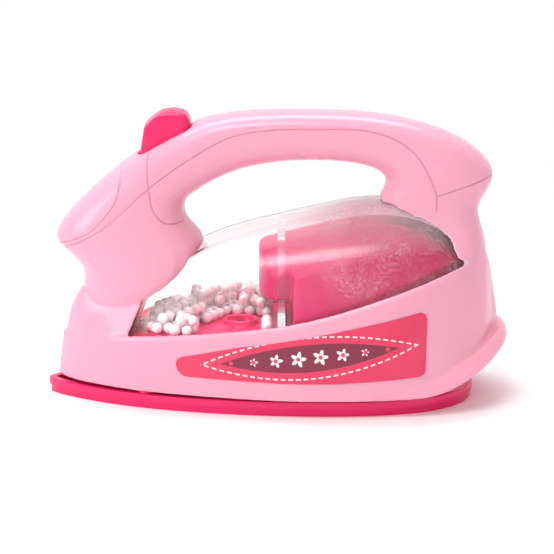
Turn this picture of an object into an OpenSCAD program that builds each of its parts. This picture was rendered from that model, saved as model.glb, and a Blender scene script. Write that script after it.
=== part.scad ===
// Toy iron with a clear bead window, a thumb button and a battery fan.
// Nose along -X, heel along +X, sole on the table at z = 0, centred on the whole length.

/* [Overall] */
// Length from the tip of the sole to the heel
iron_length = 180; // [172:1:190]
// Height of the top of the handle above the table
handle_height = 112; // [106:1:118]
// Width of the body at its lower edge
body_width = 84; // [80:1:90]

/* [Shells] */
// Wall of the two body shells
shell_wall = 2; // [1.6:0.1:2.4]
// Rounding of the rim round the window
rim_radius = 2.2; // [1.6:0.1:2.6]
// Height that the lower edge sweeps up at the heel
heel_lift = 17; // [14:0.5:19]
// Height of the foot lip round the heel
heel_lip = 7.5; // [6:0.5:9]
// Diameter of the screw bosses
boss_d = 7; // [6:0.5:8]
// Width of the rail that carries the floors
rail_width = 2.5; // [2:0.1:3]

/* [Sole] */
// Width of the sole plate
sole_width = 76; // [72:1:78]
// Height of the sole plate's edge
sole_height = 5.6; // [5:0.1:6.4]
// Floor of the sole plate
sole_floor = 2.4; // [2:0.1:2.8]
// Wall round the edge of the sole plate
sole_rim = 2; // [1.6:0.1:2.6]
// Step of the ridge round the edge
sole_ridge = 0.7; // [0.4:0.1:1]
// Shadow gap between the sole plate and the body
shadow_gap = 1.2; // [0.8:0.1:1.6]
// Distance from the sole's edge to the opening in the body's bottom
sole_margin = 9; // [8:0.5:11]

/* [Window] */
// Wall of the clear dome
dome_wall = 1.6; // [1.2:0.1:2]
// Thickness of the chamber floors
floor_thick = 1.8; // [1.4:0.1:2.2]
// Thickness of the clear divider
divider_thick = 3; // [2:0.5:4]
// Space between the clear dome and the rear cover
cover_space = 3; // [2:0.5:5]
// Wall of the rear cover
cover_wall = 1.6; // [1.2:0.1:2]
// Width of the rear cover's rounded front, which passes through the divider
cover_nose_width = 44; // [36:1:46]

/* [Beads] */
// Diameter of one foam bead
bead_d = 4.6; // [4:0.1:5]

/* [Button] */
// Length of the thumb button along the handle
button_length = 20; // [18:0.5:22]
// Width of the thumb button
button_width = 13; // [11:0.5:14]
// Height of the button above the handle's top
button_proud = 0.6; // [0:0.1:2]
// Travel of the button when pressed
button_travel = 3; // [2:0.5:3.5]
// Length of the return spring at rest
spring_length = 8.6; // [8:0.2:10]
// Outer diameter of the return spring
spring_d = 8; // [7:0.5:9]
// Wire thickness of the return spring
spring_wire = 0.8; // [0.6:0.1:1]

/* [Air drive] */
// Diameter of the air vent in the bead floor
vent_d = 11; // [9:0.5:12]
// Height of the raised rim round the vent
vent_rise = 2.4; // [1.5:0.1:3]
// Diameter of the fan
fan_d = 20; // [18:0.5:22]
// Height of the fan blades
fan_height = 5; // [4:0.5:5.5]
// Diameter of the motor can
motor_d = 14; // [12:0.5:15]
// Space between the sole's floor and the motor's cup
motor_rise = 4.5; // [3.5:0.1:5]
// Diameter of the motor shaft
shaft_d = 2; // [1.5:0.1:2.5]

/* [Battery] */
// Diameter of one cell
cell_d = 14.2; // [13.5:0.1:14.5]
// Length of one cell without its nub
cell_length = 49.2; // [48:0.2:50]
// Length of the coil contact at rest
contact_length = 4; // [3:0.5:5]
// Wall of the battery tray
tray_wall = 1.4; // [1.2:0.1:1.8]
// Reach of the door's tab over the edge of its opening
tab_reach = 3; // [2:0.5:3.5]

/* [Fixings] */
// Diameter of the screw shanks
screw_d = 2.6; // [2.2:0.1:3]
// Diameter of the screw heads
head_d = 5; // [4.5:0.1:5.5]
// Height of the screw heads
head_height = 1.6; // [1.2:0.1:2]

/* [Hidden] */

// Colours
pale_pink = "#f8a9c4";
hot_pink = "#e9116f";
clear_tint = [0.96, 0.93, 0.95, 0.35];
bead_white = "#fbf7f6";
steel = "#c9ccd1";
dark_plastic = "#3a3a40";
maroon = "#8d1c44";

// Fits
seat_gap = 0.15;
slide_gap = 0.4;
running_gap = 0.05;
guide_gap = 0.12;
door_gap = 0.3;
screw_gap = 0.2;
bead_gap = 0.12;
label_thick = 0.25;
label_gap = 0.05;
overrun = 1;

// Counts
round_sides = 48;
boss_sides = 16;
ring_sides = 24;
arch_steps = 2;
skirt_steps = 2;
tank_steps = 2;
outline_steps = 4;
floor_steps = 12;
inside_steps = 1;

// Frame values shared by all pieces
half_length = iron_length / 2;
half_width = body_width / 2;
sole_half = sole_width / 2;
body_base = sole_height + shadow_gap;
// Height of the chamber floors, as a share of the handle's height
floor_top_share = 0.241;
floor_top = floor_top_share * handle_height;
floor_bottom = floor_top - floor_thick;

// Handle arch from the nose cowl to the heel: outer x, outer z, inner x, inner z, half width, egg taper
arch_shares = [
    [-0.838, 0.321, -0.489, 0.295, 0.33, -0.2],
    [-0.838, 0.393, -0.422, 0.375, 0.43, -0.2],
    [-0.844, 0.451, -0.344, 0.455, 0.47, -0.2],
    [-0.896, 0.502, -0.316, 0.518, 0.465, -0.18],
    [-0.949, 0.545, -0.328, 0.566, 0.445, -0.15],
    [-0.949, 0.586, -0.378, 0.611, 0.42, -0.12],
    [-0.893, 0.652, -0.4, 0.652, 0.4, -0.1],
    [-0.8, 0.726, -0.389, 0.695, 0.38, -0.05],
    [-0.674, 0.813, -0.348, 0.721, 0.36, 0],
    [-0.511, 0.898, -0.273, 0.758, 0.33, 0],
    [-0.311, 0.973, -0.144, 0.8, 0.305, 0],
    [-0.089, 0.998, 0.022, 0.823, 0.293, 0],
    [0.156, 1, 0.178, 0.827, 0.29, 0],
    [0.4, 0.99, 0.322, 0.818, 0.3, 0],
    [0.622, 0.955, 0.417, 0.798, 0.324, 0],
    [0.806, 0.893, 0.46, 0.768, 0.352, 0.05],
    [0.911, 0.817, 0.462, 0.738, 0.367, 0.05],
    [0.922, 0.759, 0.444, 0.705, 0.362, 0.05],
    [0.878, 0.691, 0.429, 0.67, 0.36, 0.1],
    [0.864, 0.652, 0.444, 0.616, 0.38, 0.15],
    [0.878, 0.603, 0.5, 0.554, 0.44, 0.15],
    [0.9, 0.536, 0.556, 0.482, 0.55, 0.05],
    [0.885, 0.446, 0.578, 0.393, 0.56, 0],
    [0.86, 0.357, 0.6, 0.304, 0.52, 0]
];
// Squareness of the arch's cross-section
arch_square_share = 2.5;

// Skirt of the body: x, lower half width, rim half width, sweep of the lower edge, rim height
skirt_shares = [
    [-0.933, 0.11, 0.04, 0, 0.223],
    [-0.878, 0.25, 0.18, 0, 0.227],
    [-0.778, 0.405, 0.345, 0, 0.236],
    [-0.6, 0.62, 0.585, 0, 0.252],
    [-0.311, 0.824, 0.79, 0, 0.277],
    [0, 0.97, 0.924, 0, 0.313],
    [0.222, 1, 0.948, 0, 0.354],
    [0.456, 0.967, 0.9, 0, 0.411],
    [0.611, 0.905, 0.8, 0.04, 0.451],
    [0.733, 0.8, 0.667, 0.18, 0.487],
    [0.822, 0.657, 0.524, 0.4, 0.513],
    [0.889, 0.47, 0.33, 0.6, 0.531],
    [0.924, 0.26, 0.11, 0.72, 0.44]
];
nose_tip_share = [-0.956, 0.02, 0.01, 0, 0.09];
heel_tip_share = [0.956, 0.07, 0.02, 0.84, 0.29];

// Foot lip round the heel: x, lower half width, upper half width, sweep, height
lip_shares = [
    [0.533, 0.94, 0.9, 0, 1],
    [0.633, 0.93, 0.86, 0.05, 1],
    [0.733, 0.87, 0.79, 0.18, 1],
    [0.822, 0.775, 0.68, 0.4, 1],
    [0.889, 0.655, 0.54, 0.6, 1],
    [0.944, 0.49, 0.36, 0.79, 1],
    [0.983, 0.3, 0.14, 0.93, 0.75],
    [1, 0.1, 0.02, 1, 0.3]
];

// Nose block and clear dome: x, rim half width, crease half width, rim height, crease height
tank_shares = [
    [-0.917, 0.036, 0.014, 0.214, 0.241],
    [-0.9, 0.11, 0.057, 0.22, 0.3],
    [-0.872, 0.19, 0.11, 0.223, 0.346],
    [-0.839, 0.262, 0.167, 0.227, 0.374],
    [-0.756, 0.371, 0.229, 0.236, 0.384],
    [-0.633, 0.5, 0.286, 0.248, 0.388],
    [-0.467, 0.63, 0.348, 0.263, 0.46],
    [-0.311, 0.726, 0.381, 0.277, 0.531],
    [-0.156, 0.8, 0.376, 0.293, 0.577],
    [0, 0.86, 0.357, 0.313, 0.61],
    [0.178, 0.883, 0.314, 0.344, 0.646],
    [0.333, 0.87, 0.262, 0.38, 0.676],
    [0.467, 0.83, 0.25, 0.414, 0.682],
    [0.556, 0.78, 0.26, 0.437, 0.678],
    [0.667, 0.69, 0.28, 0.468, 0.657],
    [0.756, 0.59, 0.255, 0.493, 0.625],
    [0.833, 0.47, 0.2, 0.516, 0.588]
];
// Row of the dome at the middle of the length, where the divider stands
divider_row = 9;
// Bulge of the dome's side walls and crown of its top strip
tank_bulge_share = 0.06;
tank_crown_share = 0.05;
// Slope that the pull-in of the dome's inside follows at its crease
crease_pull_share = 0.4;
// Slanted front end of the window: x at the height of the rim and at that of the cowl
window_low_share = [-0.64, 0.24];
window_high_share = [-0.5, 0.5];

// Sole outline: x and half width
sole_shares = [
    [-1, 0.016], [-0.978, 0.1], [-0.922, 0.224], [-0.822, 0.395], [-0.667, 0.595],
    [-0.444, 0.79], [-0.167, 0.937], [0.089, 0.995], [0.289, 1], [0.467, 0.955],
    [0.622, 0.842], [0.733, 0.671], [0.806, 0.46], [0.842, 0.237], [0.851, 0.053]
];
// Place along the length from which the locating wall is taller
rear_wall_share = 0.45;
// Places of the sole screws along the length, front and rear pair
sole_screw_shares = [-0.56, 0.56];
// Rows of the handle arch that the body screws pass through
nose_screw_row = 4.5;
handle_screw_row = 11.5;
hump_screw_row = 15.5;
// Place of the heel screw: x and z
heel_screw_share = [0.81, 0.172];

// Side of the thumb button: along its length and up its depth
button_shares = [
    [-0.495, 0], [-0.495, 0.29], [-0.395, 0.75], [-0.24, 0.865], [-0.065, 0.96],
    [0.16, 1], [0.405, 0.945], [0.495, 0.83], [0.485, 0.7], [0.485, 0]
];
button_x_share = -0.481;
button_depth_share = 0.232;
button_corner_share = 0.3;
flange_reach = 0.9;
flange_thick = 1.5;
stem_d = 4;
shelf_thick = 2;
shelf_front = 12;
shelf_rear = 4.4;
shelf_width = 15;
rail_depth = 3;
switch_front = 6;
switch_rear = 3;
switch_width = 8;
switch_height = 10;
plunger_d = 3;
switch_end = 0.6;

// Sticker outline on the side: x and z
label_shares = [
    [-0.43, 0.155], [-0.43, 0.19], [-0.18, 0.237], [0.03, 0.266], [0.25, 0.3],
    [0.63, 0.363], [0.622, 0.143], [0.46, 0.134], [0.25, 0.125], [0.03, 0.124], [-0.4, 0.129]
];
label_round = 2.4;

// Air drive places
vent_space = 3.9;
vent_rim = 1.2;
vent_bars = 3;
fan_space = 1;
fan_hub_d = 6;
fan_blades = 6;
blade_thick = 1;
shroud_wall = 1.4;
shroud_depth = 6.6;
post_d = 6;
cup_wall = 1.3;
ear_thick = 2;
shaft_in_share = 0.6;

// Battery places
tray_end_share = 0.756;
cell_rise = 0.5;
cell_space = 1.2;
nub_d = 5.2;
nub_length = 1.3;
plate_thick = 0.6;
plate_size = 9;
contact_wide_d = 9;
contact_narrow_d = 6;
contact_slack = 0.3;
tab_width = 6;
tab_thick = 1.5;
tab_room = 4;

// Bead heap
bead_pitch = bead_d + bead_gap;
heap_front_share = -0.57;
bare_x_share = -0.36;
bare_y_share = -0.06;
heap_layers = 3;
far_heap_share = 0.1;
high_heap_share = -0.37;
heap_rows = 7;
heap_columns = 11;

// Smooth curve through the rows of a table at row number u
function row_at(table, u) =
    let (
        last = len(table) - 1,
        i = min(floor(u), last - 1),
        t = u - i,
        a = table[max(i - 1, 0)],
        b = table[i],
        c = table[i + 1],
        d = table[min(i + 2, last)]
    )
    b + 0.5 * t * ((c - a) + t * ((2 * a - 5 * b + 4 * c - d) + t * (3 * (b - c) + d - a)));

// All rows of a table with a number of steps between each two
function fine_rows(table, steps) =
    [for (k = [0 : steps * (len(table) - 1)]) row_at(table, k / steps)];

// A half outline of y and z, closed by its mirror image, as a ring at x
function ring_of(x, half) =
    let (n = len(half))
    concat([for (p = half) [x, p[0], p[1]]], [for (k = [n - 1 : -1 : 0]) [x, -half[k][0], half[k][1]]]);

// Solid that runs through a list of rings of equal count
module loft(rings)
    for (i = [0 : len(rings) - 2])
        hull()
            polyhedron(
                points = concat(rings[i], rings[i + 1]),
                faces = [
                    [for (k = [0 : len(rings[i]) - 1]) k],
                    [for (k = [2 * len(rings[i]) - 1 : -1 : len(rings[i])]) k]
                ]
            );

// One cross-section of the skirt, pulled in by inset
function skirt_ring(r, inset) =
    let (
        low = max(r[1] * half_width - inset, seat_gap),
        top = max(r[2] * half_width - inset, seat_gap / 2),
        base = body_base + r[3] * heel_lift + inset,
        rim = r[4] * handle_height - inset,
        bend = min(max(rim_radius - inset, seat_gap), top)
    )
    ring_of(
        r[0] * (half_length - inset),
        [
            [low, base],
            [top, rim - bend],
            for (a = [30 : 30 : 90]) [top - bend * (1 - cos(a)), rim - bend * (1 - sin(a))]
        ]
    );

module skirt(inset, steps = skirt_steps)
    loft([
        if (inset <= 0) skirt_ring(nose_tip_share, inset),
        for (r = fine_rows(skirt_shares, steps)) skirt_ring(r, inset),
        if (inset <= 0) skirt_ring(heel_tip_share, inset)
    ]);

module heel_foot()
    loft([
        for (r = fine_rows(lip_shares, skirt_steps))
            let (base = body_base + r[3] * heel_lift)
            ring_of(
                r[0] * half_length,
                [
                    [r[1] * half_width, base],
                    [r[1] * half_width, base + heel_lip * r[4] / 3],
                    [r[2] * half_width, base + heel_lip * r[4]]
                ]
            )
    ]);

// One cross-section of the handle arch, pulled in by inset
function arch_ring(r, inset) =
    let (
        outer = [r[0] * half_length, r[1] * handle_height],
        inner = [r[2] * half_length, r[3] * handle_height],
        mid = (outer + inner) / 2,
        reach = norm(outer - inner) / 2,
        along = (outer - inner) / (2 * reach),
        depth = reach - inset,
        wide = r[4] * half_width - inset
    )
    [
        for (k = [0 : ring_sides - 1])
            let (
                a = 360 * k / ring_sides,
                t = sign(cos(a)) * pow(abs(cos(a)), 2 / arch_square_share),
                s = sign(sin(a)) * pow(abs(sin(a)), 2 / arch_square_share),
                p = mid + along * depth * t
            )
            [p[0], wide * (1 + r[5] * t) * s, p[1]]
    ];

module arch(inset, steps = arch_steps)
    loft([for (r = fine_rows(arch_shares, steps)) arch_ring(r, inset)]);

// Middle of the arch at a row number, as x and z, and its half width there
function arch_middle(u) =
    let (r = row_at(arch_shares, u))
    [(r[0] + r[2]) / 2 * half_length, (r[1] + r[3]) / 2 * handle_height, r[4] * half_width];

// One cross-section of the nose block and dome, pulled in by inset, down to the height low
function tank_half(r, inset, low, drop = 0) =
    let (
        rim = [max(r[1] * half_width - inset, seat_gap), r[3] * handle_height],
        crease = [
            max(r[2] * half_width - crease_pull_share * inset, seat_gap / 2),
            r[4] * handle_height - inset - drop
        ],
        side = crease - rim,
        bulge = tank_bulge_share * [side[1], -side[0]],
        crown = [0, tank_crown_share * crease[0]]
    )
    [
        [rim[0], low],
        rim,
        (rim + crease) / 2 + bulge,
        crease,
        [crease[0] / 2, crease[1]] + crown
    ];

module tank(inset, low, drop = 0)
    loft([
        for (r = fine_rows(tank_shares, tank_steps))
            ring_of(r[0] * (half_length - inset), tank_half(r, inset, low, drop))
    ]);

// Region behind the slanted front end of the window, moved back by shift, as far as rear
module window_zone(shift, rear = iron_length)
    let (
        low = [window_low_share[0] * half_length + shift, window_low_share[1] * handle_height],
        high = [window_high_share[0] * half_length + shift, window_high_share[1] * handle_height],
        slope = (high - low) / (high[1] - low[1]),
        bottom = low - slope * low[1],
        top = bottom + slope * handle_height
    )
    rotate([90, 0, 0])
        linear_extrude(height = 2 * body_width, center = true)
            polygon([bottom, [rear, 0], [rear, handle_height], top]);

// Half width of the body along x, the narrower of its lower edge and its rim
skirt_widths = [
    for (r = fine_rows(skirt_shares, skirt_steps)) [r[0] * half_length, min(r[1], r[2]) * half_width]
];
dome_widths = [
    for (r = fine_rows(tank_shares, tank_steps)) [r[0] * half_length, r[1] * half_width]
];
sole_widths = [
    for (r = fine_rows(sole_shares, outline_steps)) [r[0] * half_length, r[1] * sole_half]
];
function sole_edge(x) = lookup(x, sole_widths);
function dome_edge(x) = lookup(x, dome_widths);

module sole_outline()
    polygon(concat(
        sole_widths,
        [for (k = [len(sole_widths) - 1 : -1 : 0]) [sole_widths[k][0], -sole_widths[k][1]]]
    ));

dome_end = dome_widths[len(dome_widths) - 1][0];

// Screw places under the sole: x and y
function sole_screw_at(end, side) =
    let (x = sole_screw_shares[end] * half_length)
    [x, side * (sole_edge(x) - sole_margin / 2)];
sole_screw_places = [for (end = [0, 1], side = [-1, 1]) sole_screw_at(end, side)];

// Body screws: x, z and half width of the body there
heel_screw_x = heel_screw_share[0] * half_length;
nose_screw = arch_middle(nose_screw_row);
handle_screw = arch_middle(handle_screw_row);
hump_screw = arch_middle(hump_screw_row);
heel_screw = [heel_screw_x, heel_screw_share[1] * handle_height, lookup(heel_screw_x, skirt_widths)];
body_screw_places = [nose_screw, handle_screw, hump_screw, heel_screw];

// Screw seats
sole_head_seat = head_height + sole_floor / 2;
sole_screw_length = sole_height + boss_d;
body_head_seat = head_height + shell_wall;

// Button and switch heights
button_x = button_x_share * half_length;
button_top = handle_height + button_proud;
button_depth = button_depth_share * handle_height;
button_base = button_top - button_depth;
shelf_top = button_base - spring_length;
stem_end = shelf_top + button_travel + slide_gap;

// Battery sizes
door_width = 2 * cell_d + cell_space + 2 * door_gap;
tray_length = cell_length + nub_length + contact_length + 2 * plate_thick + contact_slack;
cell_z = sole_floor + cell_rise + cell_d / 2;
cell_y = (cell_d + cell_space) / 2;
tray_top = cell_z + cell_d / 2 + cell_rise;
door_length = tray_length + boss_d + tray_wall;
tray_x = tray_end_share * half_length - door_length;
door_boss_x = tray_x + tray_length + boss_d / 2;
door_screw_grip = 2;

// Air drive places, ahead of the tray and between the sole's floor and the bead floor
fan_top = floor_bottom - fan_space;
fan_base = fan_top - fan_height;
motor_top = fan_base - fan_space;
motor_base = sole_floor + motor_rise + cup_wall;
motor_height = motor_top - motor_base;
shaft_in_motor = shaft_in_share * motor_height;
shroud_r = fan_d / 2 + fan_space;
vent_x = tray_x - door_gap - tray_wall - vent_space - shroud_wall - shroud_r;
// Reach of the rear cover's rounded front ahead of the divider, up to the rim of the vent
cover_nose = -vent_x - vent_d / 2 - vent_rim - slide_gap;
// Underside of that front, over the beads
cover_nose_low = floor_top + heap_layers * bead_pitch;
post_y = shroud_r + shroud_wall + post_d / 2;
post_end = motor_top - ear_thick;

// The two shells

module shell_outside() {
    skirt(0);
    heel_foot();
    arch(0);
    difference() {
        tank(0, body_base + shell_wall);
        window_zone(0);
    }
}

module shell_inside() {
    skirt(shell_wall, inside_steps);
    arch(shell_wall, inside_steps);
    difference() {
        tank(shell_wall, body_base + shell_wall);
        window_zone(-shell_wall);
    }
    translate([0, 0, body_base - overrun])
        linear_extrude(height = heel_lift)
            offset(delta = -sole_margin)
                sole_outline();
}

// Rail under the chamber floors and posts for the screws, kept inside the outer form
module shell_inner_work() {
    intersection() {
        shell_outside();
        union() {
            difference() {
                translate([-half_length, -half_width, floor_bottom - rail_width - seat_gap])
                    cube([iron_length, body_width, rail_width]);
                skirt(shell_wall + rail_width, inside_steps);
            }
            for (p = body_screw_places)
                translate([p[0], 0, p[1]])
                    rotate([90, 0, 0])
                        cylinder(d = boss_d, h = body_width, center = true, $fn = boss_sides);
            for (side = [-1, 1])
                translate([
                    button_x - shelf_front,
                    side < 0 ? -half_width : switch_width / 2 + slide_gap,
                    shelf_top - shelf_thick - rail_depth
                ])
                    cube([shelf_front + shelf_rear, half_width - switch_width / 2 - slide_gap, rail_depth]);
        }
    }
    for (p = sole_screw_places)
        translate([p[0], p[1], body_base])
            cylinder(d = boss_d, h = floor_bottom - rail_width - body_base - boss_d / 2, $fn = boss_sides);
}

module shell_cuts() {
    intersection() {
        tank(-seat_gap, floor_bottom - seat_gap);
        window_zone(-seat_gap);
    }
    translate([button_x, 0, button_base])
        linear_extrude(height = button_depth)
            hull()
                button_plan(slide_gap);
    for (p = sole_screw_places)
        translate([p[0], p[1], body_base - overrun])
            cylinder(d = screw_d + 2 * screw_gap, h = sole_screw_length, $fn = boss_sides);
    for (p = body_screw_places)
        body_screw_hole(p);
}

module body_screw_hole(place) {
    seat = place[2] - body_head_seat;
    translate([place[0], 0, place[1]])
        rotate([-90, 0, 0]) {
            translate([0, 0, -boss_d])
                cylinder(d = screw_d + 2 * screw_gap, h = boss_d + seat + overrun, $fn = boss_sides);
            translate([0, 0, seat])
                cylinder(d = head_d + 2 * screw_gap, h = half_width, $fn = boss_sides);
        }
}

module shell_half(side)
    intersection() {
        difference() {
            union() {
                difference() {
                    shell_outside();
                    shell_inside();
                }
                shell_inner_work();
            }
            shell_cuts();
        }
        translate([-iron_length, side < 0 ? -body_width : 0, 0])
            cube([2 * iron_length, body_width, 2 * handle_height]);
    }

module left_shell() color(pale_pink) shell_half(-1);

module right_shell() color(pale_pink) shell_half(1);

// Sole plate with a ridge round its edge, a locating wall and the battery opening

// Locating wall that stands inside the opening in the body's bottom, taller under the heel
module sole_wall()
    difference() {
        offset(delta = -sole_margin - seat_gap)
            sole_outline();
        offset(delta = -sole_margin - seat_gap - sole_rim)
            sole_outline();
    }

module sole_plate() color(hot_pink)
    difference() {
        union() {
            difference() {
                union() {
                    linear_extrude(height = sole_height / 2)
                        offset(delta = -sole_ridge)
                            sole_outline();
                    translate([0, 0, sole_height / 2])
                        linear_extrude(height = sole_height / 2)
                            sole_outline();
                }
                translate([0, 0, sole_floor])
                    linear_extrude(height = sole_height)
                        offset(delta = -sole_rim - sole_ridge)
                            sole_outline();
            }
            translate([0, 0, sole_floor])
                linear_extrude(height = body_base + shell_wall - sole_floor)
                    sole_wall();
            translate([0, 0, sole_floor])
                linear_extrude(height = body_base + shell_wall - sole_floor + heel_lift / 3)
                    intersection() {
                        sole_wall();
                        translate([rear_wall_share * half_length, -half_width])
                            square([half_length, body_width]);
                    }
            for (p = sole_screw_places)
                translate([p[0], p[1], 0])
                    cylinder(d = boss_d, h = body_base, $fn = round_sides);
        }
        for (p = sole_screw_places) {
            translate([p[0], p[1], -overrun])
                cylinder(d = screw_d + 2 * screw_gap, h = body_base + 2 * overrun, $fn = round_sides);
            translate([p[0], p[1], -overrun])
                cylinder(d = head_d + 2 * screw_gap, h = sole_head_seat + overrun, $fn = round_sides);
        }
        translate([tray_x - door_gap, -door_width / 2 - door_gap, -overrun])
            cube([
                door_length + 2 * door_gap,
                door_width + 2 * door_gap,
                body_base + shell_wall + 2 * overrun
            ]);
        translate([0, 0, sole_floor])
            linear_extrude(height = tray_top)
                offset(delta = seat_gap)
                    tray_plan();
    }

// Ground plan of the battery tray with its screw boss
module tray_plan() {
    translate([tray_x - tray_wall - door_gap, -door_width / 2 - door_gap - tray_wall])
        square([tray_length + 2 * tray_wall + door_gap, door_width + 2 * door_gap + 2 * tray_wall]);
    translate([door_boss_x, 0])
        circle(d = boss_d, $fn = round_sides);
}

module battery_door() color(hot_pink)
    difference() {
        union() {
            translate([tray_x, -door_width / 2, 0])
                cube([door_length, door_width, sole_floor]);
            translate([tray_x - tab_reach, -tab_width / 2, sole_floor + seat_gap])
                cube([tab_reach + tab_thick, tab_width, tab_thick]);
            translate([tray_x, -tab_width / 2, sole_floor / 2])
                cube([tab_thick, tab_width, sole_floor / 2 + tab_thick]);
        }
        translate([door_boss_x, 0, -overrun])
            cylinder(d = screw_d + 2 * screw_gap, h = sole_floor + 2 * overrun, $fn = round_sides);
        translate([door_boss_x, 0, -overrun])
            cylinder(d = head_d + 2 * screw_gap, h = head_height + overrun, $fn = round_sides);
    }

module door_screw() color(steel)
    translate([door_boss_x, 0, 0])
        screw(head_height, sole_floor + door_screw_grip);

// Cross-head screw that points up, head seated at the height seat, with its tip at the height tip
module screw(seat, tip)
    difference() {
        union() {
            translate([0, 0, seat - head_height])
                cylinder(d = head_d, h = head_height - seat_gap, $fn = round_sides);
            translate([0, 0, seat - head_height / 2])
                cylinder(d = screw_d, h = tip - seat + head_height / 2, $fn = round_sides);
        }
        for (turn = [0, 90])
            rotate([0, 0, turn])
                translate([-head_d / 3, -head_d / 12, seat - head_height - overrun])
                    cube([2 * head_d / 3, head_d / 6, overrun + head_height / 2]);
    }

module sole_screw(end, side) color(steel)
    translate(sole_screw_at(end, side))
        screw(sole_head_seat, sole_screw_length - overrun);

module sole_screw_front_left() sole_screw(0, -1);

module sole_screw_front_right() sole_screw(0, 1);

module sole_screw_rear_left() sole_screw(1, -1);

module sole_screw_rear_right() sole_screw(1, 1);

module body_screw(place) color(steel)
    translate([place[0], 0, place[1]])
        rotate([90, 0, 0])
            translate([0, 0, body_head_seat - place[2]])
                screw(0, place[2] - body_head_seat + boss_d - overrun);

module body_screw_nose() body_screw(nose_screw);

module body_screw_handle() body_screw(handle_screw);

module body_screw_hump() body_screw(hump_screw);

module body_screw_heel() body_screw(heel_screw);

// Thumb button, its spring and the switch under it

module button_plan(gap)
    let (corner = button_corner_share * button_width)
    for (x = [-1, 1], y = [-1, 1])
        translate([x * (button_length / 2 - corner), y * (button_width / 2 - corner)])
            circle(r = corner + gap, $fn = round_sides);

module steam_button() color(hot_pink) {
    corner = button_corner_share * button_width;
    translate([button_x, 0, button_base])
        intersection() {
            linear_extrude(height = button_depth)
                hull()
                    button_plan(0);
            rotate([90, 0, 0])
                linear_extrude(height = button_width, center = true)
                    polygon([for (p = button_shares) [p[0] * button_length, p[1] * button_depth]]);
            rotate([90, 0, 90])
                linear_extrude(height = button_length, center = true)
                    hull() {
                        translate([-button_width / 2, 0])
                            square([button_width, button_depth / 2]);
                        for (side = [-1, 1])
                            translate([side * (button_width / 2 - corner), button_depth - corner])
                                circle(r = corner, $fn = round_sides);
                    }
        }
    translate([button_x - button_length / 2 - flange_reach, -button_width / 2 - flange_reach, button_base])
        cube([button_length + 2 * flange_reach, button_width + 2 * flange_reach, flange_thick]);
    translate([button_x, 0, stem_end])
        cylinder(d = stem_d, h = button_base - stem_end + flange_thick / 2, $fn = round_sides);
}

module button_spring() color(steel)
    translate([button_x, 0, shelf_top + seat_gap])
        difference() {
            cylinder(d = spring_d, h = spring_length - 2 * seat_gap, $fn = round_sides);
            translate([0, 0, -overrun])
                cylinder(d = spring_d - 2 * spring_wire, h = spring_length + 2 * overrun, $fn = round_sides);
        }

module switch_shelf() color(hot_pink)
    translate([button_x, 0, shelf_top - shelf_thick + seat_gap])
        difference() {
            translate([-shelf_front, -shelf_width / 2, 0])
                cube([shelf_front + shelf_rear, shelf_width, shelf_thick - seat_gap]);
            translate([0, 0, -overrun])
                cylinder(d = plunger_d + 2 * guide_gap, h = shelf_thick + 2 * overrun, $fn = round_sides);
        }

module switch_body() color(dark_plastic)
    translate([button_x, 0, shelf_top - shelf_thick - switch_height])
        difference() {
            translate([-switch_front, -switch_width / 2, 0])
                cube([switch_front + switch_rear, switch_width, switch_height]);
            translate([0, 0, switch_end])
                cylinder(d = plunger_d + 2 * guide_gap, h = switch_height, $fn = round_sides);
        }

module switch_plunger() color(bead_white)
    translate([button_x, 0, shelf_top - shelf_thick - switch_height + 2 * switch_end + button_travel])
        cylinder(
            d = plunger_d,
            h = stem_end - seat_gap - shelf_top + shelf_thick + switch_height
                - 2 * switch_end - button_travel,
            $fn = round_sides
        );

// Clear dome, divider and the two floors

module clear_dome() color(clear_tint)
    difference() {
        intersection() {
            tank(0, floor_top + seat_gap);
            window_zone(seat_gap, dome_end - seat_gap);
        }
        intersection() {
            tank(dome_wall, floor_top - overrun);
            window_zone(dome_wall, dome_end - seat_gap - dome_wall);
        }
    }

// Section of the dome at the divider, pulled in by inset and lowered by drop, from the height low up
module divider_section(inset, low, drop = 0)
    polygon([
        for (p = ring_of(0, tank_half(row_at(tank_shares, divider_row), inset, low, drop))) [p[1], p[2]]
    ]);

module chamber_divider() color(clear_tint)
    rotate([90, 0, 90])
        linear_extrude(height = divider_thick)
            difference() {
                divider_section(dome_wall + slide_gap, floor_top + seat_gap);
                intersection() {
                    divider_section(
                        dome_wall + cover_space - slide_gap,
                        floor_top - overrun,
                        cover_space / 2
                    );
                    translate([-cover_nose_width / 2 - slide_gap, cover_nose_low - slide_gap])
                        square([cover_nose_width + 2 * slide_gap, handle_height]);
                }
            }

// Plan of a chamber floor between two places along the body
module floor_plan(from, to)
    let (
        edge = [
            for (k = [0 : floor_steps])
                let (x = from + (to - from) * k / floor_steps) [x, dome_edge(x) - seat_gap]
        ]
    )
    polygon(concat(edge, [for (k = [floor_steps : -1 : 0]) [edge[k][0], -edge[k][1]]]));

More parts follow.
